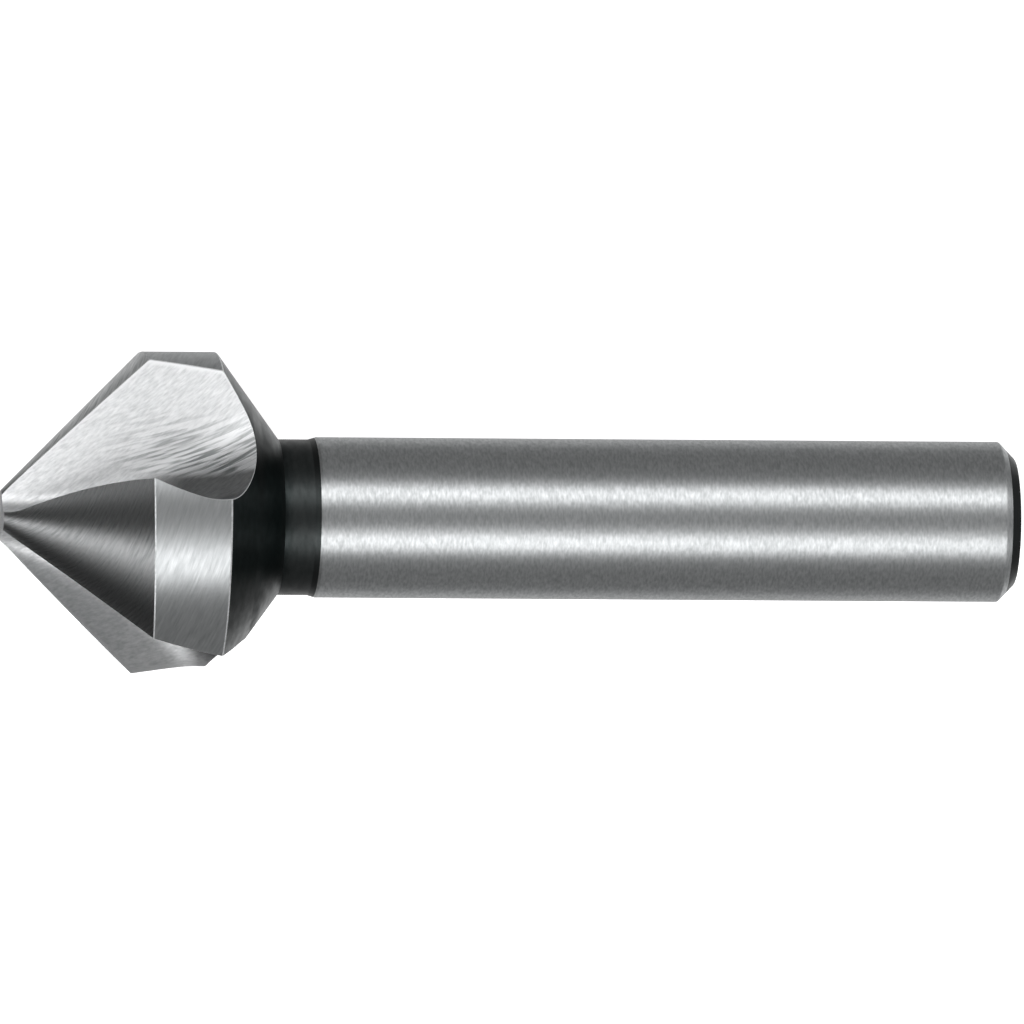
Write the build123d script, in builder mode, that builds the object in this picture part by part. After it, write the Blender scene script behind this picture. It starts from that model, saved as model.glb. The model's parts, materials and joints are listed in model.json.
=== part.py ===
from build123d import *
from itertools import product
from math import acos, atan, atan2, cos, degrees, hypot, radians, sin, tan
import os

# Three-flute 90 degree countersink on a straight shank, in millimetres.
#
# The tool is turned and ground from one bar, so it is one solid. It is made along +X from its
# tip and then laid down as it comes to rest, on the margins beside one flute and on the rim of
# its shank. It cuts right-handed. Angles around the axis are counted as seen from the tip, from
# the -Y side.

os.makedirs("parts", exist_ok=True)

# ---- blank ---------------------------------------------------------------
head_diameter = 20.5
shank_diameter = 10.0
neck_diameter = 9.7
tip_diameter = 3.5        # flat at the point, before the flutes cut into it
point_angle = 90.0        # between opposite sides of the cutting cone
overall_length = 63.5
margin_length = 4.8       # cylindrical land behind the cutting cone
back_angle = 53.8         # of the taper behind the head, from the axis
neck_length = 1.9
neck_step_length = 0.5    # short rise from the neck to the shank
end_chamfer_radial = 1.05
end_chamfer_axial = 1.0

# ---- lands and flutes ----------------------------------------------------
flute_count = 3
relief_offset = 0.62      # each land's cone is ground about an axis this far off the tool's own
lead_angle = 13.0         # of the first land's cutting corner

# The flute opens and turns along the tool. Its form is given at three stations:
# the tip, the cutting corner and the run-out behind the margin.
tip_web_radius = 0.92     # from the axis to the bottom of the flute
corner_web_radius = 4.2
exit_web_radius = 7.5
tip_root_radius = 1.35    # of the round in the bottom of the flute
corner_root_radius = 2.7
exit_root_radius = 6.1
tip_root_turn = 43.0      # angle at which the bottom stands around the axis
corner_root_turn = 28.3
exit_root_turn = 33.2
tip_rake_slope = 38.0     # of the wall that ends in the cutting edge
corner_rake_slope = 30.0
exit_rake_slope = 13.0
heel_slope = 3.0          # lean of the opposite wall
exit_distance = 1.7       # from the margin's end to the run-out station

# ---- derived sizes -------------------------------------------------------
head_radius = head_diameter / 2
shank_radius = shank_diameter / 2
neck_radius = neck_diameter / 2
tip_radius = tip_diameter / 2
cone_slope = tan(radians(point_angle / 2))
corner_x = (head_radius - tip_radius) / cone_slope
margin_end_x = corner_x + margin_length
neck_x = margin_end_x + (head_radius - neck_radius) / tan(radians(back_angle))
step_x = neck_x + neck_length
shank_x = step_x + neck_step_length
rim_x = overall_length - end_chamfer_axial
exit_x = margin_end_x + exit_distance
pitch = 360 / flute_count
clear_radius = 1.5 * head_radius
overrun = 1.0             # by which a cutter starts in front of the tip


def across(x):
    """Plane square to the axis at x, as seen from the tip: its x axis is -Y, its y axis +Z."""
    return Plane(origin=(x, 0, 0), x_dir=(0, -1, 0), z_dir=(-1, 0, 0))


def polar(radius, angle):
    """Point in a plane square to the axis."""
    return Vector(radius * cos(radians(angle)), radius * sin(radians(angle)))


def along_flute(x, at_tip, at_corner, at_exit):
    """Smooth curve through a value's three stations, read at x."""
    tip_share = (x - corner_x) * (x - exit_x) / (corner_x * exit_x)
    corner_share = x * (x - exit_x) / (corner_x * (corner_x - exit_x))
    exit_share = x * (x - corner_x) / (exit_x * (exit_x - corner_x))
    return tip_share * at_tip + corner_share * at_corner + exit_share * at_exit


# ---- blank: one turned profile, its point still square --------------------
with BuildPart() as blank:
    with BuildSketch(Plane.XY):
        with BuildLine():
            Polyline(
                (0, 0),
                (0, head_radius),
                (margin_end_x, head_radius),
                (neck_x, neck_radius),
                (step_x, neck_radius),
                (shank_x, shank_radius),
                (rim_x, shank_radius),
                (overall_length, shank_radius - end_chamfer_radial),
                (overall_length, 0),
                close=True,
            )
        make_face()
    revolve(axis=Axis.X)

# ---- point: what is ground off the blank to leave one land's cone ---------
# The cone has the point angle but stands off the axis towards the cutting edge. So it reaches
# the full size at that edge and falls away behind it, which is the relief of the land.
cone_centre = polar(relief_offset, lead_angle)
cone_end_x = corner_x + 2 * relief_offset / cone_slope
sector_end = (lead_angle + corner_root_turn + pitch / 2) / 2

with BuildPart() as relief:
    with BuildSketch(across(-overrun)):
        with BuildLine():
            Polyline(
                (0, 0),
                polar(clear_radius, sector_end),
                polar(2 * clear_radius, sector_end - pitch / 2),
                polar(clear_radius, sector_end - pitch),
                close=True,
            )
        make_face()
    extrude(amount=-(overrun + cone_end_x))
    for cone_x in (-overrun, cone_end_x):
        with BuildSketch(across(cone_x)):
            with Locations((cone_centre.X, cone_centre.Y)):
                Circle(tip_radius - relief_offset + cone_slope * cone_x)
    loft(mode=Mode.SUBTRACT)

# ---- flute: a rounded groove that grows wider and shallower to its run-out -
flute_sections = 6
flute_end_x = (neck_x + step_x) / 2

with BuildPart() as flute:
    for index in range(flute_sections):
        x = -overrun + (flute_end_x + overrun) * index / (flute_sections - 1)
        root_radius = along_flute(x, tip_root_radius, corner_root_radius, exit_root_radius)
        web_radius = along_flute(x, tip_web_radius, corner_web_radius, exit_web_radius)
        root_turn = along_flute(x, tip_root_turn, corner_root_turn, exit_root_turn)
        rake_slope = along_flute(x, tip_rake_slope, corner_rake_slope, exit_rake_slope)
        centre = polar(web_radius + root_radius, root_turn)
        heel_foot = centre + polar(root_radius, 180 + heel_slope)
        root_middle = centre + polar(root_radius, 180 + (90 + heel_slope + rake_slope) / 2)
        rake_foot = centre + polar(root_radius, rake_slope - 90)
        heel_top = heel_foot + polar(clear_radius, 90 + heel_slope)
        rake_top = rake_foot + polar(clear_radius, rake_slope)
        with BuildSketch(across(x)):
            with BuildLine():
                ThreePointArc(heel_foot, root_middle, rake_foot)
                Polyline(rake_foot, rake_top, heel_top, heel_foot)
            make_face()
    loft()

# ---- countersink, along +X from its tip -----------------------------------
with BuildPart() as ground_tool:
    add(blank.part)
    for land in range(flute_count):
        add(relief.part.rotate(Axis.X, land * pitch), mode=Mode.SUBTRACT)
    for land in range(flute_count):
        add(flute.part.rotate(Axis.X, land * pitch), mode=Mode.SUBTRACT)


# ---- rest: the plane that touches both sides of one flute and the shank's rim
touch_tolerance = 0.001


def angle_of(corner):
    return degrees(atan2(corner.Z, -corner.Y))


def reach(corner, turn):
    """Distance of a corner from the axis, measured towards an angle."""
    return corner.Z * sin(radians(turn)) - corner.Y * cos(radians(turn))


def resting_plane(lead, heel):
    """Turn around the axis, and slope along it, of the plane on two corners and the rim."""
    lead_weight = 1 / (rim_x - lead.X)
    heel_weight = 1 / (rim_x - heel.X)
    side = heel_weight * heel.Y - lead_weight * lead.Y
    rise = lead_weight * lead.Z - heel_weight * heel.Z
    swing = acos(shank_radius * (lead_weight - heel_weight) / hypot(rise, side))
    turn = degrees(atan2(rise, side) + swing)
    return turn, lead_weight * (reach(lead, turn) - shank_radius)


def carries(plane, corners):
    """Whether every corner is on or above the plane."""
    turn, slope = plane
    depths = [reach(corner, turn) - slope * (rim_x - corner.X) for corner in corners]
    return max(depths) < shank_radius + touch_tolerance


flute_corners = [
    corner
    for corner in ground_tool.part.vertices()
    if abs(hypot(corner.Y, corner.Z) - head_radius) < touch_tolerance
    and abs(angle_of(corner) - corner_root_turn) < pitch / 2
]
lead_corners = [corner for corner in flute_corners if angle_of(corner) < corner_root_turn]
heel_corners = [corner for corner in flute_corners if angle_of(corner) > corner_root_turn]
planes = [resting_plane(lead, heel) for lead, heel in product(lead_corners, heel_corners)]
rest_turn, rest_slope = next(plane for plane in planes if carries(plane, flute_corners))
rest_tilt = atan(rest_slope)
rest_height = (shank_radius + rest_slope * rim_x) * cos(rest_tilt)

# ---- the tool as it lies: shank along +X, underside at z = 0, centred in x and y
laid_down = (
    ground_tool.part.rotate(Axis.X, rest_turn + 90)
    .rotate(Axis.Y, degrees(rest_tilt))
    .translate((0, 0, rest_height))
)
middle = laid_down.bounding_box().center()

with BuildPart() as countersink_bit:
    add(laid_down.translate((-middle.X, -middle.Y, 0)))

countersink_bit.part.label = "countersink_bit"
export_step(countersink_bit.part, "parts/countersink_bit.step")
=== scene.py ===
"""Looks of a three-flute 90 degree countersink: its steel, its floor, its lights and camera."""

import json
from math import asin, atan2, cos, pi, radians, sin, sqrt, tan

import bmesh
import bpy
from mathutils import Matrix, Vector


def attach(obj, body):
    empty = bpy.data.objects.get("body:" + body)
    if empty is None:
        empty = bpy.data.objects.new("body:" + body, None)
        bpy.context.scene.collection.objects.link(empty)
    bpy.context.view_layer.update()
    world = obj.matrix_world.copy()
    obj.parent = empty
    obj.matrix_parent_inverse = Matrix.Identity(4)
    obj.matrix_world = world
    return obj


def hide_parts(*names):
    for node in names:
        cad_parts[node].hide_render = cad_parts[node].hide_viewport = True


bl_info = {
    "name": "Countersink Bit",
    "version": (1, 0, 0),
    "blender": (4, 5, 0),
    "location": "3D View > Sidebar > Countersink",
    "description": "Builds a three-flute countersink, its steel finishes and its studio",
    "category": "Object",
}

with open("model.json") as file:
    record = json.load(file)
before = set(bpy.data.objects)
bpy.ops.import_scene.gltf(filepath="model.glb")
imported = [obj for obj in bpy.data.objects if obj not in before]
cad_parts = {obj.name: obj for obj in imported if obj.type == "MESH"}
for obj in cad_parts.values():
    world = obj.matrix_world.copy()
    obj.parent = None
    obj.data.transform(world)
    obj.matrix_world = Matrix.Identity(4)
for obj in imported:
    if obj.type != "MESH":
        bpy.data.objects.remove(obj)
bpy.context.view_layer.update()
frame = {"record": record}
SHANK_MOUNT = frame["record"]["mounts"][0]

MM = 0.001
CAD_NODE = "countersink_bit"
WELD = 0.0005 * MM  # points nearer than this are one


def linear(code):
    """Linear red, green, blue and alpha of an sRGB colour such as #C0C2C4."""
    parts = [int(code[i : i + 2], 16) / 255 for i in (1, 3, 5)]
    return [p / 12.92 if p <= 0.04045 else ((p + 0.055) / 1.055) ** 2.4 for p in parts] + [1.0]


def length(name, description, millimetres):
    return bpy.props.FloatProperty(
        name=name,
        description=description,
        default=millimetres * MM,
        min=0,
        unit="LENGTH",
        precision=5,
    )


def angle(name, description, value):
    return bpy.props.FloatProperty(
        name=name, description=description, default=radians(value), subtype="ANGLE"
    )


def flute_lengths(name, description, *millimetres):
    """A length of the flute at its three stations."""
    return bpy.props.FloatVectorProperty(
        name=name,
        description=description,
        size=3,
        default=[value * MM for value in millimetres],
        unit="LENGTH",
        precision=5,
    )


def flute_angles(name, description, *values):
    """An angle of the flute at its three stations."""
    return bpy.props.FloatVectorProperty(
        name=name,
        description=description,
        size=3,
        default=[radians(value) for value in values],
        subtype="EULER",
    )


def colour(name, description, code):
    return bpy.props.FloatVectorProperty(
        name=name,
        description=description,
        size=4,
        default=linear(code),
        subtype="COLOR",
        min=0,
        max=1,
    )


class COUNTERSINK_PG_sizes(bpy.types.PropertyGroup):
    head_diameter: length("Head diameter", "Across the margins", 20.5)
    shank_diameter: length(
        "Shank diameter", "Of the straight shank", 2 * SHANK_MOUNT["dims"]["r_mm"]
    )
    neck_diameter: length("Neck diameter", "Between the head and the shank", 9.7)
    tip_diameter: length("Tip diameter", "Of the flat at the point, before the flutes cut it", 3.5)
    overall_length: length("Overall length", "From the tip to the end of the shank", 63.5)
    point_angle: angle("Point angle", "Between opposite sides of the cutting cone", 90)
    margin_length: length("Margin length", "Of the cylindrical land behind the cone", 4.8)
    back_angle: angle("Back angle", "Of the taper behind the head, from the axis", 53.8)
    neck_length: length("Neck length", "Of the straight part of the neck", 1.9)
    neck_step_length: length("Neck step", "Length of the short rise to the shank", 0.5)
    end_chamfer_radial: length("End chamfer across", "Chamfer on the end of the shank", 1.05)
    end_chamfer_axial: length("End chamfer along", "Chamfer on the end of the shank", 1.0)
    edge_break: length("Edge break", "Width that the stone takes off each edge", 0.05)
    flute_count: bpy.props.IntProperty(
        name="Flutes", description="Number of flutes", default=3, min=1
    )
    relief_offset: length("Relief offset", "How far each land's cone stands off the axis", 0.62)
    lead_angle: angle("Lead angle", "Of the first land's cutting corner around the axis", 13)
    web_radius: flute_lengths(
        "Web radius",
        "From the axis to the bottom of the flute, at tip, corner and run-out",
        0.92, 4.2, 7.5,
    )
    root_radius: flute_lengths(
        "Root radius",
        "Of the round in the bottom of the flute, at tip, corner and run-out",
        1.35, 2.7, 6.1,
    )
    root_turn: flute_angles(
        "Root turn",
        "Angle of the flute's bottom around the axis, at tip, corner and run-out",
        43, 28.3, 33.2,
    )
    rake_slope: flute_angles(
        "Rake slope",
        "Of the wall that ends in the cutting edge, at tip, corner and run-out",
        38, 30, 13,
    )
    heel_slope: angle("Heel slope", "Lean of the wall opposite the cutting edge", 3)
    exit_distance: length("Exit distance", "From the margin's end to the run-out station", 1.7)
    edge_lift: length(
        "Edge lift",
        "How far the root is lowered ahead of the corner, to keep the edge straight",
        0.37,
    )
    black_neck_end: length("Blackening ends", "Where grinding has cut the black skin away", 19.5)
    black_rim_start: length("Blackening returns", "Where the end of the shank is black again", 62.9)
    rest_turn: angle("Rest turn", "Turn about its own axis in which the tool lies", 35.12)


class COUNTERSINK_PG_finishes(bpy.types.PropertyGroup):
    # also the light end of the painted highlights on the flute's rims and the honed edges
    steel_bright: colour("Bright steel", "Bare steel where the grit has cut it cleanly", "#F4F5F6")
    steel: colour("Ground steel", "Bare high-speed steel, freshly ground", "#CFD1D2")
    steel_dull: colour("Dull steel", "The same steel where the wheel has smeared it", "#B4B7B8")
    steel_dark: colour("Dark steel", "The same steel down in the deeper marks", "#8F9394")
    black: colour("Black skin", "Steam-blackened skin left by hardening", "#1E2626")
    black_deep: colour("Deep black", "The skin where it is thickest", "#141B1B")
    black_thin: colour("Thin black", "The skin along the neck, thinned by handling", "#3E4141")
    floor: colour("Floor", "Pale floor under the tool", "#F4F4F4")


# ---------------------------------------------------------------- shape

FLUTE_COLUMNS, LAND_COLUMNS = 44, 40
CONE_ROWS, MARGIN_ROWS, TAPER_ROWS = 44, 16, 16
TAPER_RINGS, NECK_RINGS, SHANK_RINGS = 6, 3, 24
BREAK_AT_45 = 0.7  # an edge break's width along the axis, on a slope of 45 degrees
BREAK_SHARE = 0.1  # of a narrow flute's width, the most that an edge break takes
LIFT_PEAK = 0.42  # share of the way from tip to corner where the edge lift is full
EDGE_STEP = 0.1 * MM  # by which a flute's wall is followed until it leaves the land
HALVINGS = 40
SETTLING_ROUNDS = 6

FLUTE, CONE, MARGIN, BLACK, SHANK, EDGE = range(6)
SURFACE_MAP = "surface"
FINISH = "finish"
FLUTE_NUMBER = "flute_number"
# flags the flute's two rims, along which its finish paints a highlight
RIM_HIGHLIGHT = "rim_highlight"


def polar(radius, turn):
    """Point in a plane square to the axis, seen from the tip."""
    return Vector((radius * cos(turn), radius * sin(turn)))


def mix(a, b, share):
    return a + (b - a) * share


def crossing(inside, near, far):
    """Where a test that holds at near and fails at far first fails."""
    for _ in range(HALVINGS):
        middle = (near + far) / 2
        if inside(middle):
            near = middle
        else:
            far = middle
    return far


class ToolForm:
    """Turned outline, relieved lands and flutes of the tool, worked out from its sizes."""

    def __init__(self, sizes):
        s = self.sizes = sizes
        self.head_radius = s.head_diameter / 2
        self.tip_radius = s.tip_diameter / 2
        self.shank_radius = s.shank_diameter / 2
        self.neck_radius = s.neck_diameter / 2
        self.cone_slope = tan(s.point_angle / 2)
        self.pitch = 2 * pi / s.flute_count
        self.corner_x = (self.head_radius - self.tip_radius) / self.cone_slope
        self.margin_end_x = self.corner_x + s.margin_length
        self.neck_x = self.margin_end_x + (self.head_radius - self.neck_radius) / tan(s.back_angle)
        self.step_x = self.neck_x + s.neck_length
        self.shank_x = self.step_x + s.neck_step_length
        self.rim_x = s.overall_length - s.end_chamfer_axial
        self.exit_x = self.margin_end_x + s.exit_distance
        # the flute runs out where its bottom comes out of the back taper
        self.runout_x = crossing(
            lambda x: self.station(s.web_radius, x) < self.outer_radius(x, 0),
            self.margin_end_x,
            self.neck_x,
        )
        peak = LIFT_PEAK * self.corner_x
        self.lift_scale = s.edge_lift / (peak * (self.corner_x - peak) * (self.runout_x - peak))

    def station(self, values, x):
        """Smooth curve through a value's three stations, read at x."""
        corner, end = self.corner_x, self.exit_x
        tip_share = (x - corner) * (x - end) / (corner * end)
        corner_share = x * (x - end) / (corner * (corner - end))
        end_share = x * (x - corner) / (end * (end - corner))
        return tip_share * values[0] + corner_share * values[1] + end_share * values[2]

    def corner_station(self, behind):
        """Where the relieved cone meets the margin, at an angle behind the cutting edge."""
        offset = self.sizes.relief_offset
        reach = sqrt((self.head_radius - offset * cos(behind)) ** 2 + (offset * sin(behind)) ** 2)
        return (reach + offset - self.tip_radius) / self.cone_slope

    def land_x(self, nominal, behind):
        """Station of a row on the land; rows lean back with the relief up to the margin's end."""
        if nominal >= self.margin_end_x:
            return nominal
        corner = self.corner_station(behind)
        if nominal <= self.corner_x:
            return corner * nominal / self.corner_x
        share = (nominal - self.corner_x) / (self.margin_end_x - self.corner_x)
        return mix(corner, self.margin_end_x, share)

    def outer_radius(self, x, behind):
        """Radius of the unfluted outside: relieved cone, margin, then back taper."""
        offset = self.sizes.relief_offset
        cone = self.tip_radius - offset + self.cone_slope * x
        relieved = offset * cos(behind) + sqrt(max(cone * cone - (offset * sin(behind)) ** 2, 0))
        taper = self.head_radius - max(x - self.margin_end_x, 0) * tan(self.sizes.back_angle)
        return min(relieved, taper)

    def section(self, x):
        """Centre, radius, middle and half length of the flute's round, its rake and its turn."""
        s = self.sizes
        radius = self.station(s.root_radius, x)
        turn = self.station(s.root_turn, x)
        rake = self.station(s.rake_slope, x)
        lift = self.lift_scale * x * (self.corner_x - x) * (self.runout_x - x)
        bottom = self.station(s.web_radius, x)
        centre = polar(bottom + radius, turn) - polar(lift, pi / 2 + s.heel_slope)
        middle = pi + (pi / 2 + s.heel_slope + rake) / 2
        half = radius * (pi / 2 + rake - s.heel_slope) / 2
        return centre, radius, middle, half, rake, turn

    def flute_point(self, x, travel):
        """Point of the flute by the way from the middle of its round; negative on the rake wall."""
        centre, radius, middle, half, rake, _ = self.section(x)
        bent = max(-half, min(half, travel))
        foot = centre + polar(radius, middle - bent / radius)
        if travel > half:
            return foot + polar(travel - half, pi / 2 + self.sizes.heel_slope)
        if travel < -half:
            return foot + polar(-half - travel, rake)
        return foot

    def bottom_travel(self, x):
        """Way from the middle of the round to the bottom of the flute."""
        _, radius, middle, _, _, turn = self.section(x)
        return (middle - (turn + pi)) * radius

    def flute_edge(self, x, side):
        """Travel and turn where the flute leaves the land: cutting edge for -1, heel for 1."""
        land_turn = self.sizes.lead_angle + (self.pitch if side > 0 else 0)

        def inside(travel):
            point = self.flute_point(x, travel)
            return point.length < self.outer_radius(x, atan2(point.y, point.x) - land_turn)

        near = self.bottom_travel(x)
        far = near + side * EDGE_STEP
        while inside(far):
            near, far = far, far + side * EDGE_STEP
        travel = crossing(inside, near, far)
        point = self.flute_point(x, travel)
        return travel, atan2(point.y, point.x)

    def row_edge(self, nominal, side):
        """Station, travel and turn at which a row of the land crosses the flute's edge."""
        land_turn = self.sizes.lead_angle + (self.pitch if side > 0 else 0)
        x = nominal
        for _ in range(SETTLING_ROUNDS):
            travel, turn = self.flute_edge(x, side)
            x = self.land_x(nominal, turn - land_turn)
        return x, travel, turn


def head_rows(form):
    """Nominal station of each row of the head, whether it is crisp, and the finish behind it."""
    edge = form.sizes.edge_break
    corner, end = form.corner_x, form.margin_end_x
    cone = [(corner * i / CONE_ROWS, i == 0, CONE) for i in range(CONE_ROWS)]
    cone_end = [(corner - BREAK_AT_45 * edge, True, EDGE)]
    margin = [
        (mix(corner + edge, end - edge, i / MARGIN_ROWS), i == 0, MARGIN)
        for i in range(MARGIN_ROWS)
    ]
    margin_end = [(end - edge, True, EDGE)]
    left = form.runout_x - end - edge
    taper = [
        (form.runout_x - left * (1 - i / TAPER_ROWS) ** 2, i == 0, BLACK)
        for i in range(TAPER_ROWS + 1)
    ]
    return cone + cone_end + margin + margin_end + taper


def head_row(form, nominal):
    """Points of one row over a flute and the land behind it: place, then station and way around."""
    s = form.sizes
    lead_x, lead_travel, lead_turn = form.row_edge(nominal, -1)
    heel_x, heel_travel, heel_turn = form.row_edge(nominal, 1)
    edge = min(s.edge_break, BREAK_SHARE * (heel_travel - lead_travel))
    if nominal >= form.runout_x:
        edge = 0
        lead_travel = heel_travel = form.bottom_travel(nominal)
        lead_turn = heel_turn = form.station(s.root_turn, nominal)
    points = []
    for i in range(FLUTE_COLUMNS):
        share = i / (FLUTE_COLUMNS - 1)
        travel = mix(lead_travel + edge, heel_travel - edge, share)
        x = mix(lead_x, heel_x, share)
        place = form.flute_point(x, travel)
        points.append((x, *place, x, travel))
    start = heel_turn + edge / form.head_radius
    end = lead_turn + form.pitch - edge / form.head_radius
    for i in range(LAND_COLUMNS):
        turn = mix(start, end, i / (LAND_COLUMNS - 1))
        behind = turn - s.lead_angle - form.pitch
        x = form.land_x(nominal, behind)
        place = polar(form.outer_radius(x, behind), turn)
        points.append((x, *place, x, form.head_radius * behind))
    return points


def turned_rings(form):
    """Station, radius, finish in front, and whether it is crisp, of each ring behind the flutes."""
    s = form.sizes
    edge = BREAK_AT_45 * s.edge_break
    step_slope = (form.shank_radius - form.neck_radius) / s.neck_step_length
    chamfer_slope = s.end_chamfer_radial / s.end_chamfer_axial

    def step_radius(x):
        return form.neck_radius + step_slope * max(0, min(x, form.shank_x) - form.step_x)

    def chamfer_radius(x):
        return form.shank_radius - chamfer_slope * (x - form.rim_x)

    rings = []
    for i in range(1, TAPER_RINGS + 1):
        x = mix(form.runout_x, form.neck_x, i / TAPER_RINGS)
        rings.append((x, form.outer_radius(x, 0), BLACK, i == TAPER_RINGS))
    for i in range(1, NECK_RINGS + 1):
        x = mix(form.neck_x, form.step_x, i / NECK_RINGS)
        rings.append((x, form.neck_radius, BLACK, i == NECK_RINGS))
    rings.append((s.black_neck_end, step_radius(s.black_neck_end), BLACK, False))
    rings.append((form.shank_x, form.shank_radius, SHANK, True))
    for i in range(1, SHANK_RINGS + 1):
        x = mix(form.shank_x, form.rim_x - edge, i / SHANK_RINGS)
        rings.append((x, form.shank_radius, SHANK, i == SHANK_RINGS))
    rings.append((form.rim_x + edge, chamfer_radius(form.rim_x + edge), SHANK, True))
    rings.append((s.black_rim_start, chamfer_radius(s.black_rim_start), SHANK, False))
    x = s.overall_length - edge
    rings.append((x, chamfer_radius(x), BLACK, True))
    rings.append((s.overall_length, form.shank_radius - s.end_chamfer_radial - edge, BLACK, True))
    return rings


def turned_ring(form, x, radius):
    """Points of one ring behind the flutes, in the columns of the head's rows."""
    start = form.station(form.sizes.root_turn, form.runout_x)
    points = []
    for i in range(FLUTE_COLUMNS + LAND_COLUMNS):
        turn = form.pitch * max(0, i - FLUTE_COLUMNS) / (LAND_COLUMNS - 1)
        place = polar(radius, start + turn)
        points.append((x, *place, x, form.head_radius * turn))
    return points


def build_third(form):
    """One flute, the land behind it and its share of the turned parts, along +X from the tip."""
    mesh = bmesh.new()
    mesh.loops.layers.uv.new(SURFACE_MAP)
    mesh.faces.layers.int.new(FINISH)
    mesh.verts.layers.float.new(RIM_HIGHLIGHT)
    columns = FLUTE_COLUMNS + LAND_COLUMNS
    rows = head_rows(form)
    rings = [add_ring(mesh, form, head_row(form, nominal)) for nominal, _, _ in rows]
    for low, high, (_, _, outside) in zip(rings, rings[1:], rows):
        flute = [FLUTE] * (FLUTE_COLUMNS - 1) + [EDGE]
        land = [outside] * (LAND_COLUMNS - 1) + [EDGE]
        bridge(mesh, low, high, flute + land)

    # both sides of each broken edge stay crisp
    for n, (ring, (_, crisp, _)) in enumerate(zip(rings, rows)):
        if crisp:
            for i in range(0 if n == 0 else FLUTE_COLUMNS - 1, columns):
                sharpen(mesh, ring[i][0], ring[i + 1][0])
        if n + 1 < len(rings):
            for i in (0, FLUTE_COLUMNS - 1, FLUTE_COLUMNS, columns - 1, columns):
                sharpen(mesh, ring[i][0], rings[n + 1][i][0])

    previous = rings[-1]
    for x, radius, finish, crisp in turned_rings(form):
        ring = add_ring(mesh, form, turned_ring(form, x, radius))
        bridge(mesh, previous, ring, [finish] * columns)
        if crisp:
            for i in range(columns):
                sharpen(mesh, ring[i][0], ring[i + 1][0])
        previous = ring
    close(mesh, previous, form.sizes.overall_length, BLACK)
    # the flat at the point takes the honed edge's finish, with its painted highlight
    close(mesh, rings[0], 0.0, EDGE)
    return mesh


def add_ring(mesh, form, points):
    """Vertices of a row, each with its place on the surface map, up to the next flute's first."""
    x, across, up, *where = points[0]
    next_flute = Matrix.Rotation(form.pitch, 2) @ Vector((across, up))
    rim = mesh.verts.layers.float[RIM_HIGHLIGHT]
    ring = []
    for x, across, up, *where in [*points, (x, *next_flute, *where)]:
        place = Vector((x, -across, up))
        if ring and (ring[-1][0].co - place).length < WELD:
            ring.append((ring[-1][0], where))
        else:
            ring.append((mesh.verts.new(place), where))
            # the flute's two rims are flagged for the painted highlight along them
            ring[-1][0][rim] = len(ring) in (1, FLUTE_COLUMNS)
    return ring


def bridge(mesh, low, high, finishes):
    """Faces between two rings, left out where the rings have run together."""
    uv = mesh.loops.layers.uv[SURFACE_MAP]
    for i, finish in enumerate(finishes):
        corners = [low[i], low[i + 1], high[i + 1], high[i]]
        kept = [c for n, c in enumerate(corners) if c[0] not in [d[0] for d in corners[:n]]]
        if len(kept) < 3:
            continue
        face = mesh.faces.new([vertex for vertex, _ in kept])
        face.smooth = True
        face[mesh.faces.layers.int[FINISH]] = finish
        for loop, (_, where) in zip(face.loops, kept):
            loop[uv].uv = where


def sharpen(mesh, a, b):
    edge = mesh.edges.get((a, b)) if a is not b else None
    if edge is not None:
        edge.smooth = False


def close(mesh, ring, x, finish):
    """Fills a flat end from the axis."""
    uv = mesh.loops.layers.uv[SURFACE_MAP]
    centre = mesh.verts.new((x, 0, 0))
    for (a, _), (b, _) in zip(ring, ring[1:]):
        if a is not b:
            face = mesh.faces.new((centre, a, b))
            face.smooth = True
            face[mesh.faces.layers.int[FINISH]] = finish
            for loop in face.loops:
                loop[uv].uv = loop.vert.co.yz


# ---------------------------------------------------------------- nodes

# inputs of the Mix node, its output for a colour, and inputs of the Compare node
MIX_SHARE, MIX_NUMBER_A, MIX_NUMBER_B, MIX_COLOUR_A, MIX_COLOUR_B = 0, 2, 3, 6, 7
MIXED_COLOUR = 2
WHOLE_A, WHOLE_B = 2, 3


def add_node(tree, kind, inputs=(), **settings):
    """Adds a node with its settings, then fills or links its inputs.

    They are given in socket order or by socket; a node stands for its first output.
    """
    node = tree.nodes.new(kind)
    for name, value in settings.items():
        setattr(node, name, value)
    pairs = inputs.items() if isinstance(inputs, dict) else enumerate(inputs)
    for socket, value in pairs:
        if isinstance(value, bpy.types.Node):
            value = value.outputs[0]
        if isinstance(value, bpy.types.NodeSocket):
            tree.links.new(value, node.inputs[socket])
        else:
            node.inputs[socket].default_value = value
    return node


def zone(tree, *fades):
    """Product of several fades: each a value, where it starts and ends, and the shares there."""
    share, *others = [add_node(tree, "ShaderNodeMapRange", fade) for fade in fades]
    for other in others:
        share = add_node(tree, "ShaderNodeMath", (share, other), operation="MULTIPLY")
    return share


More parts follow.
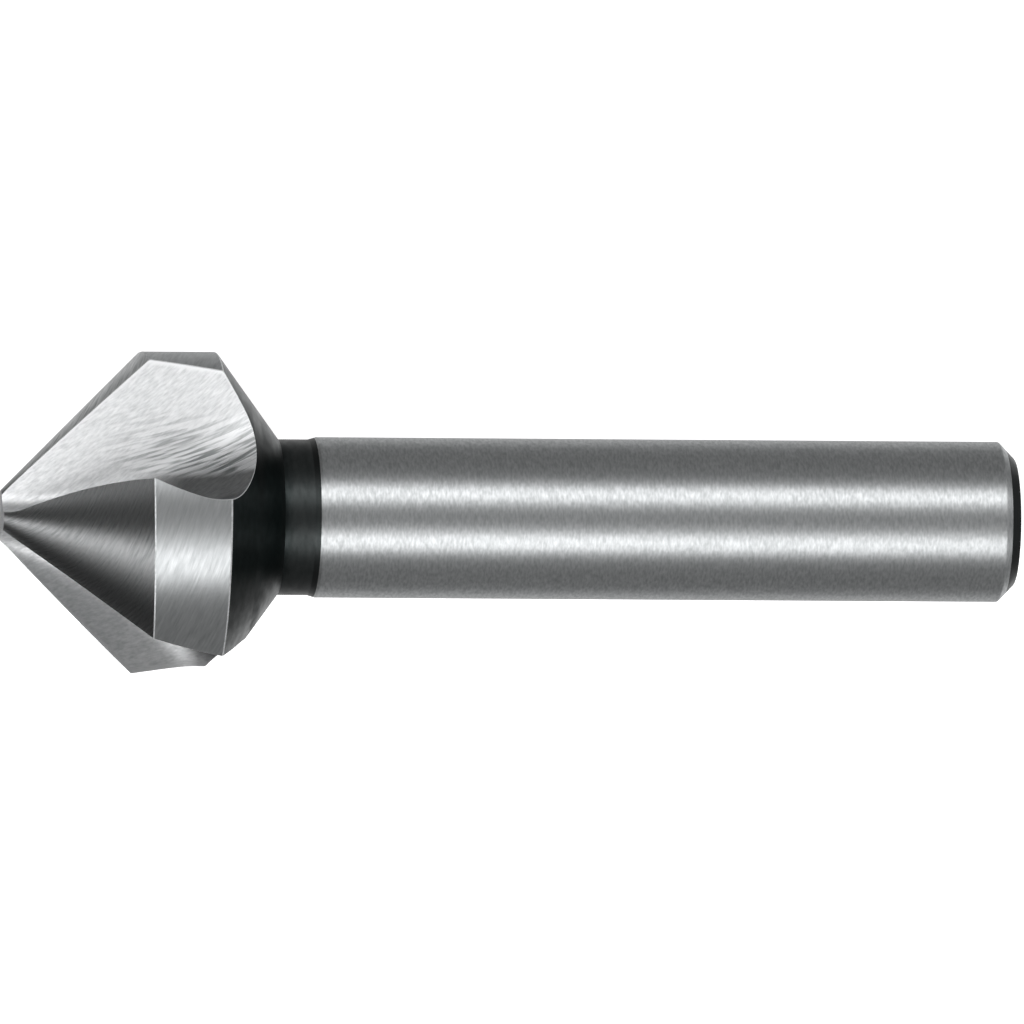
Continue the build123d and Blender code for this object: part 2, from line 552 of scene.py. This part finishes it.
def build_repeat_tree(finishes):
    """Repeats one flute and land around the axis, lays the tool down and finishes each face."""
    tree = bpy.data.node_groups.new("ground_tool_from_one_flute", "GeometryNodeTree")
    tree.is_modifier = True
    socket = tree.interface.new_socket
    for name, kind in (
        ("Geometry", "NodeSocketGeometry"),
        ("Flutes", "NodeSocketInt"),
        ("Turn", "NodeSocketFloat"),
        ("Tilt", "NodeSocketFloat"),
        ("Tip", "NodeSocketVector"),
        ("Weld distance", "NodeSocketFloat"),
    ):
        socket(name, in_out="INPUT", socket_type=kind)
    socket("Geometry", in_out="OUTPUT", socket_type="NodeSocketGeometry")

    given = add_node(tree, "NodeGroupInput").outputs
    index = add_node(tree, "GeometryNodeInputIndex")
    pitch = add_node(tree, "ShaderNodeMath", (2 * pi, given["Flutes"]), operation="DIVIDE")
    turn = add_node(tree, "ShaderNodeMath", (pitch, index), operation="MULTIPLY")
    around, rolled, tilted = [
        add_node(tree, "FunctionNodeAxisAngleToRotation", {"Axis": axis, "Angle": value})
        for axis, value in (
            ((1, 0, 0), turn),
            ((1, 0, 0), given["Turn"]),
            ((0, 1, 0), given["Tilt"]),
        )
    ]
    places = add_node(tree, "GeometryNodePoints", {"Count": given["Flutes"]})
    flutes = add_node(
        tree,
        "GeometryNodeInstanceOnPoints",
        {"Points": places, "Instance": given["Geometry"], "Rotation": around},
    )
    numbered = add_node(
        tree,
        "GeometryNodeStoreNamedAttribute",
        {"Geometry": flutes, "Name": FLUTE_NUMBER, "Value": index},
        data_type="FLOAT",
        domain="INSTANCE",
    )
    turned = add_node(tree, "GeometryNodeTransform", {"Geometry": numbered, "Rotation": rolled})
    laid = add_node(
        tree,
        "GeometryNodeTransform",
        {"Geometry": turned, "Rotation": tilted, "Translation": given["Tip"]},
    )
    real = add_node(tree, "GeometryNodeRealizeInstances", {"Geometry": laid})
    result = add_node(
        tree,
        "GeometryNodeMergeByDistance",
        {"Geometry": real, "Distance": given["Weld distance"]},
    )
    finish = add_node(tree, "GeometryNodeInputNamedAttribute", {"Name": FINISH}, data_type="INT")
    for number, material in enumerate(finishes):
        here = add_node(
            tree,
            "FunctionNodeCompare",
            {WHOLE_A: finish, WHOLE_B: number},
            data_type="INT",
            operation="EQUAL",
        )
        result = add_node(
            tree,
            "GeometryNodeSetMaterial",
            {"Geometry": result, "Selection": here, "Material": material},
        )
    add_node(tree, "NodeGroupOutput", {"Geometry": result})
    return tree


def plain_piece(source, name):
    """The evaluated object as a plain mesh with no modifier, closed and facing outwards."""
    depsgraph = bpy.context.evaluated_depsgraph_get()
    made = bpy.data.meshes.new_from_object(
        source.evaluated_get(depsgraph), preserve_all_data_layers=True, depsgraph=depsgraph
    )
    old = source.data
    bpy.data.objects.remove(source)
    bpy.data.meshes.remove(old)
    shape = bmesh.new()
    shape.from_mesh(made)
    bmesh.ops.recalc_face_normals(shape, faces=shape.faces)
    open_edges = [edge for edge in shape.edges if len(edge.link_faces) != 2]
    volume = shape.calc_volume(signed=True)
    shape.to_mesh(made)
    shape.free()
    if open_edges or volume <= 0:
        raise RuntimeError(f"{name} has {len(open_edges)} open edges and a volume of {volume:g} m3")
    made.name = name
    piece = bpy.data.objects.new(name, made)
    bpy.context.scene.collection.objects.link(piece)
    return piece


# ---------------------------------------------------------------- finishes

NOISE_RANGE = (0.3, 0.7)  # where nearly all of the noise lies
FLUTE_SEED_STEP = 17.3  # sets the marks of one flute apart from those of the next

# zones of the flute: from where to where, along it, around it or above its root
ROOT_CLIMB = 0.27  # of the root, to each millimetre that it runs back
ROOT_TOP = (4.4, 4.9)  # millimetres above the root
WAVES_TOP = (6.0, 9.2)
WAVES_ALONG = (6 * MM, 11 * MM)
# zones darkened as painted shade: low in the root and over the rake wall; then the darker rake wall
# behind the margin's end
ROOT_SHADE_ALONG = (8.2 * MM, 11 * MM)
ROOT_SHADE_AROUND = (-2.6 * MM, -0.8 * MM)
RAKE_SHADE_AROUND = (-2.2 * MM, 0.2 * MM)
BEHIND_MARGIN_ALONG = (11.6 * MM, 12.8 * MM)
BEHIND_MARGIN_AROUND = (-1.8 * MM, -0.8 * MM)
# values of the rim flag over which the marks fade into the painted highlight
RIM_HIGHLIGHT_FADE = (0, 0.8)

THINNING = 0.6 * MM  # to each side of the neck's front end, where the black skin thins


def new_surface(name):
    """Empty material and its tree."""
    material = bpy.data.materials.new(name)
    material.use_nodes = True
    material.node_tree.nodes.clear()
    return material, material.node_tree


def wheel_marks(tree, along, across, detail, seed, lean=0):
    """A wheel's strokes, different on each flute; their sizes along and around in millimetres."""
    where = add_node(tree, "ShaderNodeUVMap", uv_map=SURFACE_MAP)
    size = add_node(
        tree,
        "ShaderNodeMapping",
        {
            "Vector": where,
            "Rotation": (0, 0, radians(lean)),
            "Scale": (along * MM, across * MM, 1),
        },
        vector_type="TEXTURE",
    )
    number = add_node(tree, "ShaderNodeAttribute", attribute_name=FLUTE_NUMBER)
    apart = add_node(
        tree,
        "ShaderNodeMath",
        (number.outputs["Fac"], FLUTE_SEED_STEP, seed),
        operation="MULTIPLY_ADD",
    )
    return add_node(
        tree,
        "ShaderNodeTexNoise",
        {"Vector": size, "W": apart, "Scale": 1.0, "Detail": detail},
        noise_dimensions="4D",
    )


def turning_marks(tree, place, along, across, detail):
    """Marks around the tool's axis; their sizes along and across it in millimetres."""
    tip, tilt = place
    where = add_node(tree, "ShaderNodeTexCoord")
    size = add_node(
        tree,
        "ShaderNodeMapping",
        {
            "Vector": where.outputs["Object"],
            "Location": tip,
            "Rotation": (0, tilt, 0),
            "Scale": (along * MM, across * MM, across * MM),
        },
        vector_type="TEXTURE",
    )
    return add_node(
        tree, "ShaderNodeTexNoise", {"Vector": size, "Scale": 1.0, "Detail": detail}
    )


def finish_metal(
    tree, shade, light, dark, roughness, grooves, depth, kept=1.0, grain=0.0, grain_turn=0.0
):
    """Metal that runs from light to dark, grooved to a depth in millimetres.

    A share of its colour is kept, less where shade is painted, and its glints draw out across the
    grain.
    """
    tone = add_node(
        tree,
        "ShaderNodeMix",
        {MIX_SHARE: shade, MIX_COLOUR_A: light, MIX_COLOUR_B: dark},
        data_type="RGBA",
    )
    toned = add_node(
        tree,
        "ShaderNodeVectorMath",
        {"Vector": tone.outputs[MIXED_COLOUR], "Scale": kept},
        operation="SCALE",
    )
    relief = add_node(
        tree, "ShaderNodeBump", {"Height": grooves, "Strength": 1.0, "Distance": depth * MM}
    )
    way = add_node(tree, "ShaderNodeTangent", direction_type="UV_MAP", uv_map=SURFACE_MAP)
    metal = add_node(
        tree,
        "ShaderNodeBsdfPrincipled",
        {
            "Base Color": toned,
            "Metallic": 1.0,
            "Roughness": roughness,
            "Anisotropic": grain,
            "Anisotropic Rotation": grain_turn,
            "Tangent": way,
            "Normal": relief,
        },
    )
    add_node(tree, "ShaderNodeOutputMaterial", {"Surface": metal})


def flute_steel(finishes):
    """High-speed steel ground with a coarse wheel: sparkling grit, waves low down, painted shade in
    the root and over the rake wall.
    """
    material, tree = new_surface("high_speed_steel_ground_flute")
    # a real scratch is a few hundredths of a millimetre wide: drawn this coarse, it shows
    grit = wheel_marks(tree, along=0.50, across=0.14, detail=3.0, seed=0.0, lean=35)
    # chatter of the wheel: pale and dark waves along the wall
    waves = wheel_marks(tree, along=1.9, across=0.19, detail=1.0, seed=3.0, lean=10)
    where = add_node(tree, "ShaderNodeUVMap", uv_map=SURFACE_MAP)
    along, around, _ = add_node(tree, "ShaderNodeSeparateXYZ", (where,)).outputs
    height = add_node(
        tree,
        "ShaderNodeVectorMath",
        (where, (ROOT_CLIMB / MM, 1 / MM, 0)),
        operation="DOT_PRODUCT",
    ).outputs["Value"]
    wavy = zone(
        tree,
        (height, *ROOT_TOP, 0, 1),
        (height, *WAVES_TOP, 1, 0),
        (along, *WAVES_ALONG, 0.1, 1),
    )
    marks = add_node(
        tree,
        "ShaderNodeMix",
        {
            MIX_SHARE: wavy,
            MIX_NUMBER_A: add_node(tree, "ShaderNodeMapRange", (grit, *NOISE_RANGE, 0, 0.45)),
            MIX_NUMBER_B: add_node(tree, "ShaderNodeMapRange", (waves, 0.43, 0.62, -0.2, 0.9)),
        },
    )
    # painted highlight: the marks fade out at both rims of the flute, leaving a bright line of
    # light steel along its edges
    rim_flag = add_node(tree, "ShaderNodeAttribute", attribute_name=RIM_HIGHLIGHT).outputs["Fac"]
    marks_kept_off_highlight = add_node(tree, "ShaderNodeMapRange", (rim_flag, *RIM_HIGHLIGHT_FADE, 1, 0))
    marks = add_node(tree, "ShaderNodeMath", (marks, marks_kept_off_highlight), operation="MULTIPLY")
    # painted shade: the colour is darkened low in the root towards the margin and over the rake
    # wall; on the rake wall behind the margin's end it is darker still
    root_shade = zone(
        tree,
        (height, *ROOT_TOP, 0.55, 0),
        (around, *ROOT_SHADE_AROUND, 0, 1),
        (along, *ROOT_SHADE_ALONG, 0, 1),
    )
    behind_margin = zone(
        tree,
        (along, *BEHIND_MARGIN_ALONG, 0, 0.62),
        (around, *BEHIND_MARGIN_AROUND, 1, 0),
    )
    # share of the colour kept: below one where shade is painted, and on the rake wall behind the
    # margin's end
    kept = zone(
        tree,
        (around, *RAKE_SHADE_AROUND, 0.62, 1),
        (root_shade, 0, 1, 1, 0),
        (behind_margin, 0, 1, 1, 0),
    )
    finish_metal(
        tree,
        shade=marks,
        light=finishes.steel_bright,
        dark=finishes.steel_dark,
        roughness=add_node(tree, "ShaderNodeMapRange", (grit, *NOISE_RANGE, 0.42, 0.50)),
        grooves=marks,
        depth=0.007,
        kept=kept,
        grain=0.5,
        grain_turn=0.25,
    )
    return material


def cone_steel(finishes):
    """High-speed steel ground around the cone: a fine wheel's polish and one bright fan."""
    material, tree = new_surface("high_speed_steel_ground_cone")
    # the wheel's strokes lie across the cutting edge, drawn far coarser than they are
    strokes = wheel_marks(tree, along=0.15, across=1.5, detail=3.0, seed=5.0, lean=-18)
    finish_metal(
        tree,
        shade=add_node(tree, "ShaderNodeMapRange", (strokes, *NOISE_RANGE, 0.15, 0.85)),
        light=finishes.steel_bright,
        dark=finishes.steel_dark,
        roughness=add_node(tree, "ShaderNodeMapRange", (strokes, *NOISE_RANGE, 0.28, 0.36)),
        grooves=strokes,
        depth=0.006,
        grain=0.84,
        grain_turn=0.022,
    )
    return material


def margin_steel(finishes):
    """High-speed steel, cylindrically ground on the margins: a soft band along the tool."""
    material, tree = new_surface("high_speed_steel_ground_margin")
    # strokes around the margin, drawn far coarser than they are
    strokes = wheel_marks(tree, along=0.15, across=1.2, detail=3.0, seed=9.0, lean=-18)
    finish_metal(
        tree,
        shade=add_node(tree, "ShaderNodeMapRange", (strokes, *NOISE_RANGE, 0.3, 1)),
        light=finishes.steel,
        dark=finishes.steel_dull,
        roughness=add_node(tree, "ShaderNodeMapRange", (strokes, *NOISE_RANGE, 0.46, 0.54)),
        grooves=strokes,
        depth=0.007,
        grain=0.85,
        grain_turn=0.02,
    )
    return material


def black_steel(finishes, form, place):
    """Turned steel, oiled over a steam-tempered skin: nearly black, paler and dull at the neck."""
    material, tree = new_surface("turned_steel_steam_blackened")
    # the tool bit's feed lines, drawn coarser than they are
    marks = turning_marks(tree, place, along=0.35, across=0.9, detail=3.0)
    where = add_node(tree, "ShaderNodeUVMap", uv_map=SURFACE_MAP)
    along = add_node(tree, "ShaderNodeSeparateXYZ", (where,))
    start, end = form.neck_x - THINNING, form.neck_x + THINNING
    thin = add_node(tree, "ShaderNodeMapRange", (along, start, end, 0, 1))
    skin = add_node(
        tree,
        "ShaderNodeMix",
        {MIX_SHARE: thin, MIX_COLOUR_A: finishes.black, MIX_COLOUR_B: finishes.black_thin},
        data_type="RGBA",
    )
    marked = add_node(tree, "ShaderNodeMapRange", (marks, *NOISE_RANGE, 0.36, 0.44))
    dulled = add_node(tree, "ShaderNodeMapRange", (thin, 0, 1, 0, 0.08))
    finish_metal(
        tree,
        shade=zone(tree, (marks, *NOISE_RANGE, 0, 1), (thin, 0, 1, 1, 0.3)),
        light=skin.outputs[MIXED_COLOUR],
        dark=finishes.black_deep,
        roughness=add_node(tree, "ShaderNodeMath", (marked, dulled), operation="ADD"),
        grooves=marks,
        depth=0.004,
        grain=add_node(tree, "ShaderNodeMapRange", (thin, 0, 1, 0.7, 0.55)),
    )
    return material


def shank_steel(finishes, place):
    """Steel, centreless ground on the shank: an even satin with a short fine grain."""
    material, tree = new_surface("shank_steel_centreless_ground")
    # the grain is finer than this; drawn so, it just breaks up the satin
    marks = turning_marks(tree, place, along=0.14, across=0.40, detail=3.0)
    finish_metal(
        tree,
        shade=add_node(tree, "ShaderNodeMapRange", (marks, *NOISE_RANGE, 0, 1)),
        light=finishes.steel,
        dark=finishes.steel_dull,
        roughness=add_node(tree, "ShaderNodeMapRange", (marks, *NOISE_RANGE, 0.48, 0.54)),
        grooves=marks,
        depth=0.002,
        grain=0.85,
    )
    return material


def edge_steel(finishes):
    """Steel edge broken with a fine stone: a narrow matt facet whose lighter colour paints a
    highlight, the brightest line on the tool.
    """
    material, tree = new_surface("high_speed_steel_edge_painted_highlight")
    # the stone leaves no direction, only a frosting, drawn coarser than it is
    strokes = wheel_marks(tree, along=0.3, across=0.3, detail=2.0, seed=13.0)
    finish_metal(
        tree,
        shade=add_node(tree, "ShaderNodeMapRange", (strokes, *NOISE_RANGE, 0, 1)),
        # painted highlight: the light end of the tone, brighter than the faces beside it
        light=finishes.steel_bright,
        dark=finishes.steel,
        roughness=add_node(tree, "ShaderNodeMapRange", (strokes, *NOISE_RANGE, 0.60, 0.75)),
        grooves=strokes,
        depth=0.002,
    )
    return material


# ---------------------------------------------------------------- studio

CAMERA_TURN = radians(65.12)  # about the tool, up from the level on its +Y side
CAMERA_SWING = radians(7)  # round towards the tip's side
CAMERA_ROLL = 0.00684
CAMERA_DISTANCE = 2.0
SENSOR_WIDTH = 36  # millimetres, as the lens is given
VIEW_WIDTH = 63.8 * MM
VIEW_ALONG = 32.0 * MM  # from the tip to the middle of the view
VIEW_UP = 0.417 * MM  # from the axis to the middle of the view
NEAREST, FARTHEST = 0.01, 100

# name, degrees from the camera around the tool, then metres: along the tool, length, width; watts
SOFT_BOXES = (
    ("upper_softbox", 35.5, -0.15, 1.1, 0.29, 3.8),
    ("lower_softbox", -35.5, -0.68, 1.7, 0.32, 7.6),
)
SOFT_BOX_DISTANCE = 0.8

# The room's glow by direction, as fades from one cosine to another: cosines to the shank's end
# for the walls, then for each card a cosine to the far side of the tool and one to the shank's end.
WALLS = (-0.3, 0.1, 0.005, 0.40)
CARDS = (
    ("SUBTRACT", (0.05, 0.3, 0, 0.38), (0.5, 0.8, 0, 1)),
    ("ADD", (0.55, 0.9, 0, 0.36), (-1, 1, 1, 1)),
    ("ADD", (-0.8, -0.45, 0.3, 0), (-0.4, -0.15, 1, 0)),
    ("ADD", (0.6, 0.85, 0, 0.8), (0.25, 0.5, 0, 1)),
)
WHITE = (1, 1, 1, 1)

FLOOR_RADIUS = 2.5
FLOOR_SIDES = 96
PAPER_FIBRE = 2.5 * MM  # a clump of fibres
FLOOR_GLOW = 0.9


def tool_place(form):
    """Where the tip lies and how far the axis dips, from the shank as it is mounted."""
    axis = Vector(SHANK_MOUNT["axis"])
    middle = (form.shank_x + form.rim_x) / 2
    return Vector(SHANK_MOUNT["pos_m"]) - axis * middle, asin(-axis.z)


def aim(thing, place, target, up):
    """Puts a camera or light at a place, looking at the target, with its top towards up."""
    back = (place - target).normalized()
    side = up.cross(back).normalized()
    turned = Matrix((side, back.cross(side), back)).transposed().to_4x4()
    thing.matrix_world = Matrix.Translation(place) @ turned


def add_camera(scene, target, axis, front, top):
    """A long lens two metres away, slightly on the tip's side."""
    camera = bpy.data.objects.new("studio_camera", bpy.data.cameras.new("studio_camera"))
    scene.collection.objects.link(camera)
    away = front * cos(CAMERA_SWING) - axis * sin(CAMERA_SWING)
    right = axis * cos(CAMERA_SWING) + front * sin(CAMERA_SWING)
    up = top * cos(CAMERA_ROLL) - right * sin(CAMERA_ROLL)
    aim(camera, target + away * CAMERA_DISTANCE, target, up)
    camera.data.sensor_width = SENSOR_WIDTH
    camera.data.lens = SENSOR_WIDTH * CAMERA_DISTANCE / VIEW_WIDTH
    camera.data.clip_start, camera.data.clip_end = NEAREST, FARTHEST
    scene.camera = camera


def add_soft_boxes(scene, target, axis, front, top):
    """Two long soft boxes in line with the tool, one to each side of the camera."""
    for name, lean, along, box_length, width, power in SOFT_BOXES:
        data = bpy.data.lights.new(name, "AREA")
        data.shape = "RECTANGLE"
        data.size, data.size_y = box_length, width
        data.energy = power
        light = bpy.data.objects.new(name, data)
        scene.collection.objects.link(light)
        toward = front * cos(radians(lean)) + top * sin(radians(lean))
        middle = target + axis * along
        aim(light, middle + toward * SOFT_BOX_DISTANCE, middle, axis.cross(toward))


def add_room(scene, axis, front):
    """Walls that the steel mirrors, dim off the tip, pale off the shank; white to the camera."""
    world = bpy.data.worlds.new("studio_room")
    scene.world = world
    world.use_nodes = True
    tree = world.node_tree
    tree.nodes.clear()
    where = add_node(tree, "ShaderNodeTexCoord").outputs["Generated"]
    along, behind = [
        add_node(tree, "ShaderNodeVectorMath", (where, way), operation="DOT_PRODUCT").outputs[
            "Value"
        ]
        for way in (axis, -front)
    ]
    glow = add_node(tree, "ShaderNodeMapRange", (along, *WALLS))
    for operation, far_side, shank_end in CARDS:
        card = zone(tree, (behind, *far_side), (along, *shank_end))
        glow = add_node(tree, "ShaderNodeMath", (glow, card), operation=operation)
    room = add_node(tree, "ShaderNodeBackground", {"Color": WHITE, "Strength": glow})
    pale = add_node(tree, "ShaderNodeBackground", {"Color": WHITE, "Strength": 1.0})
    ray = add_node(tree, "ShaderNodeLightPath").outputs["Is Camera Ray"]
    seen = add_node(tree, "ShaderNodeMixShader", (ray, room, pale))
    add_node(tree, "ShaderNodeOutputWorld", {"Surface": seen})


def white_paper(tone):
    """Rolled paper, matt and a little uneven, lit enough to lose its edge in the room."""
    material, tree = new_surface("white_paper_rolled_matt")
    where = add_node(tree, "ShaderNodeTexCoord").outputs["Object"]
    # single fibres are too fine to show: drawn in clumps
    fibre = add_node(
        tree, "ShaderNodeTexNoise", {"Vector": where, "Scale": 1 / PAPER_FIBRE, "Detail": 4.0}
    )
    paper = add_node(
        tree,
        "ShaderNodeBsdfPrincipled",
        {
            "Base Color": tone,
            "Roughness": add_node(tree, "ShaderNodeMapRange", (fibre, *NOISE_RANGE, 0.85, 0.95)),
            "Emission Color": tone,
            "Emission Strength": FLOOR_GLOW,
        },
    )
    add_node(tree, "ShaderNodeOutputMaterial", {"Surface": paper})
    return material


def add_floor(scene):
    """A round sheet of paper under the tool."""
    shape = bmesh.new()
    turns = [2 * pi * i / FLOOR_SIDES for i in range(FLOOR_SIDES)]
    rim = [shape.verts.new((FLOOR_RADIUS * cos(t), FLOOR_RADIUS * sin(t), 0)) for t in turns]
    shape.faces.new(rim)
    mesh = bpy.data.meshes.new("studio_floor")
    shape.to_mesh(mesh)
    shape.free()
    mesh.materials.append(white_paper(scene.countersink_finishes.floor))
    floor = bpy.data.objects.new("studio_floor", mesh)
    scene.collection.objects.link(floor)
    floor.visible_glossy = False
    return floor


# ---------------------------------------------------------------- operators


class COUNTERSINK_OT_tool(bpy.types.Operator):
    """Builds the ground tool from one flute and lays it down"""

    bl_idname = "countersink.tool"
    bl_label = "Build ground tool"

    def execute(self, context):
        scene = context.scene
        sizes, finishes = scene.countersink_sizes, scene.countersink_finishes
        form = ToolForm(sizes)
        tip, tilt = place = tool_place(form)
        mesh = bpy.data.meshes.new("one_flute")
        third = build_third(form)
        third.to_mesh(mesh)
        third.free()
        source = bpy.data.objects.new("one_flute", mesh)
        scene.collection.objects.link(source)
        steels = {
            FLUTE: flute_steel(finishes),
            CONE: cone_steel(finishes),
            MARGIN: margin_steel(finishes),
            BLACK: black_steel(finishes, form, place),
            SHANK: shank_steel(finishes, place),
            EDGE: edge_steel(finishes),
        }
        repeat = source.modifiers.new("repeat", "NODES")
        repeat.node_group = build_repeat_tree(steels.values())
        values = {
            "Flutes": sizes.flute_count,
            # with no rest turn, the form's zero turn faces the floor
            "Turn": sizes.rest_turn + pi / 2,
            "Tilt": tilt,
            "Tip": tip,
            "Weld distance": WELD,
        }
        for item in repeat.node_group.interface.items_tree:
            if item.in_out == "INPUT" and item.name in values:
                repeat[item.identifier] = values[item.name]
        piece = plain_piece(source, "ground_countersink")
        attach(piece, "root")
        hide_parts(CAD_NODE)
        return {"FINISHED"}


class COUNTERSINK_OT_stage(bpy.types.Operator):
    """Builds the floor, the studio lights and the camera"""

    bl_idname = "countersink.stage"
    bl_label = "Build studio"

    def execute(self, context):
        scene = context.scene
        tip, tilt = tool_place(ToolForm(scene.countersink_sizes))
        axis = Vector((cos(tilt), 0, -sin(tilt)))
        lay = Matrix.Rotation(tilt, 3, "Y")
        front = lay @ Vector((0, cos(CAMERA_TURN), sin(CAMERA_TURN)))
        top = lay @ Vector((0, sin(CAMERA_TURN), -cos(CAMERA_TURN)))
        target = tip + axis * VIEW_ALONG + top * VIEW_UP
        add_camera(scene, target, axis, front, top)
        add_soft_boxes(scene, target, axis, front, top)
        add_room(scene, axis, front)
        scene.view_settings.view_transform = "Standard"
        floor = add_floor(scene)
        return {"FINISHED"}


class COUNTERSINK_PT_panel(bpy.types.Panel):
    """Sizes, finishes and building steps of the countersink"""

    bl_idname = "COUNTERSINK_PT_panel"
    bl_label = "Countersink"
    bl_space_type = "VIEW_3D"
    bl_region_type = "UI"
    bl_category = "Countersink"

    def draw(self, context):
        scene = context.scene
        for group in (scene.countersink_sizes, scene.countersink_finishes):
            box = self.layout.box()
            for name in group.bl_rna.properties.keys():
                if name not in ("rna_type", "name"):
                    box.prop(group, name)
        for operator in OPERATORS:
            self.layout.operator(operator.bl_idname)


OPERATORS = (COUNTERSINK_OT_tool, COUNTERSINK_OT_stage)
CLASSES = (COUNTERSINK_PG_sizes, COUNTERSINK_PG_finishes, *OPERATORS, COUNTERSINK_PT_panel)


def register():
    for cls in CLASSES:
        bpy.utils.register_class(cls)
    bpy.types.Scene.countersink_sizes = bpy.props.PointerProperty(type=COUNTERSINK_PG_sizes)
    bpy.types.Scene.countersink_finishes = bpy.props.PointerProperty(type=COUNTERSINK_PG_finishes)


def unregister():
    del bpy.types.Scene.countersink_finishes
    del bpy.types.Scene.countersink_sizes
    for cls in reversed(CLASSES):
        bpy.utils.unregister_class(cls)


def main():
    register()
    bpy.ops.countersink.tool()
    bpy.ops.countersink.stage()


if __name__ == "__main__":
    main()
